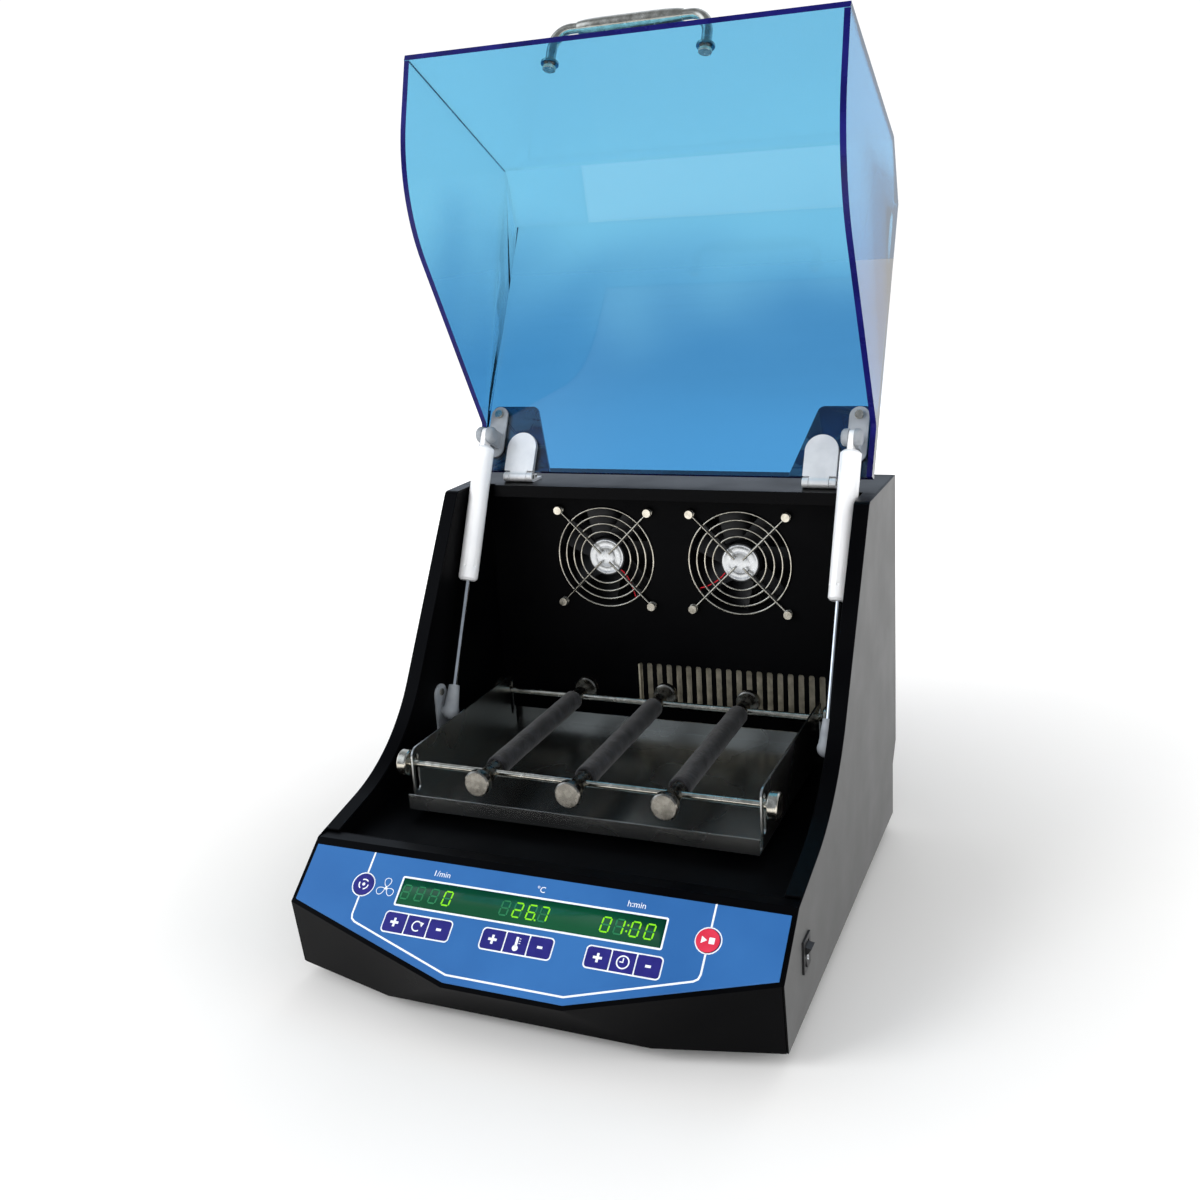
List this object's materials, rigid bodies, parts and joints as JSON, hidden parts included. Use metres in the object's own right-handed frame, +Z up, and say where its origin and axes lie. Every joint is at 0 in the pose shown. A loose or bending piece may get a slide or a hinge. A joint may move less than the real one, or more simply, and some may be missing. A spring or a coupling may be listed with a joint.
{
  "type": "incubated benchtop shaker",
  "caption": "Heated benchtop chamber with an orbiting tray, foam clamping rollers, rear fans, a sloping keypad panel and a hinged clear lid on gas struts.",
  "frame": {"origin": "on the bench under the middle of the machine, taken over its whole length with the lid open", "axes": "+Z up, +Y from the control panel to the back, +X to the right of someone facing the panel"},
  "size_m": [0.3653, 0.4628, 0.6677],
  "materials": {
    "black_paint": "semi-gloss black powder coat on sheet steel",
    "rail_paint": "semi-gloss black powder coat",
    "panel_film": "printed polyester film",
    "display": "green digits behind a filter",
    "board": "glass-fibre circuit board",
    "key_navy": "printed film keys",
    "key_red": "printed film key",
    "blue_acrylic": "clear tinted acrylic sheet, polished edges",
    "white_alloy": "satin",
    "strut_silver": "silver lacquer",
    "strut_grey": "ground rod with grey plastic socket",
    "chrome": "polished",
    "steel": "turned or plated",
    "stainless": "bright stainless sheet",
    "alloy": "milled",
    "black_plastic": "moulded",
    "black_rubber": "moulded rubber",
    "foam": "closed-cell foam"
  },
  "bodies": {
    "case": {"base_pan": "black_paint", "front_fascia": "black_paint", "left_side_panel": "black_paint", "right_side_panel": "black_paint", "rear_panel": "black_paint", "top_rail": "rail_paint", "chamber_side_walls": "black_paint", "chamber_back_wall": "black_paint", "chamber_floor": "black_paint", "control_overlay": "panel_film", "display_board": "display", "power_board": "board", "heater_element": "steel", "drive_motor": "alloy", "drive_frame": "alloy", "frame_bearings": "steel", "drive_belt": "black_rubber", "power_inlet": "black_plastic", "rubber_feet": "black_rubber", "case_screws": "steel", "fan_frames": "black_plastic", "fan_guards": "chrome", "strut_wall_plates": "white_alloy", "case_hinge_leaves": "white_alloy", "switch_frame": "black_plastic"},
    "lid": {"lid_cover": "blue_acrylic", "lid_sides": "blue_acrylic", "lid_hinge_plates": "white_alloy", "strut_brackets": "white_alloy", "lid_screws": "steel", "lid_handle": "chrome"},
    "left_tube": {"strut_tube_left": "strut_silver"},
    "left_rod": {"strut_rod_left": "strut_grey"},
    "right_tube": {"strut_tube_right": "strut_silver"},
    "right_rod": {"strut_rod_right": "strut_grey"},
    "crank": {"drive_crank": "steel"},
    "carriage": {"tray_carrier": "alloy", "carrier_bearings": "steel", "tray": "stainless"},
    "idler_left": {"idler_crank_left": "steel"},
    "idler_right": {"idler_crank_right": "steel"},
    "motor_rotor": {"motor_pulley": "steel"},
    "fan_left": {"fan_impeller_left": "black_plastic"},
    "fan_right": {"fan_impeller_right": "black_plastic"},
    "rocker": {"switch_rocker": "black_plastic"},
    "clamps": {"clamp_bars": "chrome"},
    "roller_1": {"roller_bar_1": "chrome", "foam_sleeve_1": "foam"},
    "roller_2": {"roller_bar_2": "chrome", "foam_sleeve_2": "foam"},
    "roller_3": {"roller_bar_3": "chrome", "foam_sleeve_3": "foam"},
    "key_fan_body": {"key_fan": "key_navy"},
    "key_speed_up_body": {"key_speed_up": "key_navy"},
    "key_speed_down_body": {"key_speed_down": "key_navy"},
    "key_heat_up_body": {"key_heat_up": "key_navy"},
    "key_heat_down_body": {"key_heat_down": "key_navy"},
    "key_time_up_body": {"key_time_up": "key_navy"},
    "key_time_down_body": {"key_time_down": "key_navy"},
    "key_start_stop_body": {"key_start_stop": "key_red"}
  },
  "joints": [
    {"name": "lid_hinge", "type": "hinge", "parent": "case", "child": "lid", "pos_m": [0, 0.1165, 0.3093], "axis": [1, 0, 0], "range_deg": [0, 117.7]},
    {"name": "left_strut_pivot", "type": "hinge", "parent": "lid", "child": "left_tube", "pos_m": [-0.1585, 0.11343, 0.34626], "axis": [1, 0, 0], "range_deg": [-118.5, 0.5]},
    {"name": "left_strut_slide", "type": "slide", "parent": "left_tube", "child": "left_rod", "axis": [0, 0.4306, 0.9026], "range_m": [-0.0005, 0.066]},
    {"name": "right_strut_pivot", "type": "hinge", "parent": "lid", "child": "right_tube", "pos_m": [0.1585, 0.11343, 0.34626], "axis": [1, 0, 0], "range_deg": [-118.5, 0.5]},
    {"name": "right_strut_slide", "type": "slide", "parent": "right_tube", "child": "right_rod", "axis": [0, 0.4306, 0.9026], "range_m": [-0.0005, 0.066]},
    {"name": "crank_spin", "type": "hinge", "parent": "case", "child": "crank", "pos_m": [0, 0.002, 0.07], "axis": [0, 0, 1], "continuous": true},
    {"name": "tray_orbit", "type": "hinge", "parent": "crank", "child": "carriage", "pos_m": [0, -0.003, 0.08], "axis": [0, 0, 1], "continuous": true},
    {"name": "idler_left_spin", "type": "hinge", "parent": "case", "child": "idler_left", "pos_m": [-0.075, -0.053, 0.07], "axis": [0, 0, 1], "continuous": true},
    {"name": "idler_right_spin", "type": "hinge", "parent": "case", "child": "idler_right", "pos_m": [0.075, -0.053, 0.07], "axis": [0, 0, 1], "continuous": true},
    {"name": "motor_spin", "type": "hinge", "parent": "case", "child": "motor_rotor", "pos_m": [0.092, 0.058, 0.04], "axis": [0, 0, 1], "continuous": true},
    {"name": "fan_left_spin", "type": "hinge", "parent": "case", "child": "fan_left", "pos_m": [-0.06, 0.143, 0.237], "axis": [0, 1, 0], "continuous": true},
    {"name": "fan_right_spin", "type": "hinge", "parent": "case", "child": "fan_right", "pos_m": [0.06, 0.143, 0.237], "axis": [0, 1, 0], "continuous": true},
    {"name": "rocker_tilt", "type": "hinge", "parent": "case", "child": "rocker", "pos_m": [0.178, -0.148, 0.057], "axis": [0, 1, 0], "range_deg": [-24, 0]},
    {"name": "clamp_height", "type": "slide", "parent": "carriage", "child": "clamps", "axis": [0, 0, 1], "range_m": [-0.016, 0.0055]},
    {"name": "roller_1_slide", "type": "slide", "parent": "clamps", "child": "roller_1", "axis": [1, 0, 0], "range_m": [-0.025, 0.025]},
    {"name": "roller_2_slide", "type": "slide", "parent": "clamps", "child": "roller_2", "axis": [1, 0, 0], "range_m": [-0.025, 0.025]},
    {"name": "roller_3_slide", "type": "slide", "parent": "clamps", "child": "roller_3", "axis": [1, 0, 0], "range_m": [-0.025, 0.025]},
    {"name": "key_fan_press", "type": "slide", "parent": "case", "child": "key_fan_body", "axis": [0, 0.6193, -0.7852], "range_m": [0, 0.0005], "stiffness_N_per_m": 1500, "springref_m": -0.0002},
    {"name": "key_speed_up_press", "type": "slide", "parent": "case", "child": "key_speed_up_body", "axis": [0, 0.6193, -0.7852], "range_m": [0, 0.0005], "stiffness_N_per_m": 1500, "springref_m": -0.0002},
    {"name": "key_speed_down_press", "type": "slide", "parent": "case", "child": "key_speed_down_body", "axis": [0, 0.6193, -0.7852], "range_m": [0, 0.0005], "stiffness_N_per_m": 1500, "springref_m": -0.0002},
    {"name": "key_heat_up_press", "type": "slide", "parent": "case", "child": "key_heat_up_body", "axis": [0, 0.6193, -0.7852], "range_m": [0, 0.0005], "stiffness_N_per_m": 1500, "springref_m": -0.0002},
    {"name": "key_heat_down_press", "type": "slide", "parent": "case", "child": "key_heat_down_body", "axis": [0, 0.6193, -0.7852], "range_m": [0, 0.0005], "stiffness_N_per_m": 1500, "springref_m": -0.0002},
    {"name": "key_time_up_press", "type": "slide", "parent": "case", "child": "key_time_up_body", "axis": [0, 0.6193, -0.7852], "range_m": [0, 0.0005], "stiffness_N_per_m": 1500, "springref_m": -0.0002},
    {"name": "key_time_down_press", "type": "slide", "parent": "case", "child": "key_time_down_body", "axis": [0, 0.6193, -0.7852], "range_m": [0, 0.0005], "stiffness_N_per_m": 1500, "springref_m": -0.0002},
    {"name": "key_start_stop_press", "type": "slide", "parent": "case", "child": "key_start_stop_body", "axis": [0, 0.6193, -0.7852], "range_m": [0, 0.0005], "stiffness_N_per_m": 1500, "springref_m": -0.0002}
  ],
  "couplings": [
    {"joint": "left_strut_pivot", "follows": "lid_hinge", "ratio": -0.99724},
    {"joint": "left_strut_slide", "follows": "lid_hinge", "m_per_rad": 0.030899},
    {"joint": "right_strut_pivot", "follows": "lid_hinge", "ratio": -0.99724},
    {"joint": "right_strut_slide", "follows": "lid_hinge", "m_per_rad": 0.030899},
    {"joint": "tray_orbit", "follows": "crank_spin", "ratio": -1},
    {"joint": "idler_left_spin", "follows": "crank_spin", "ratio": 1},
    {"joint": "idler_right_spin", "follows": "crank_spin", "ratio": 1},
    {"joint": "motor_spin", "follows": "crank_spin", "ratio": 2.5}
  ]
}
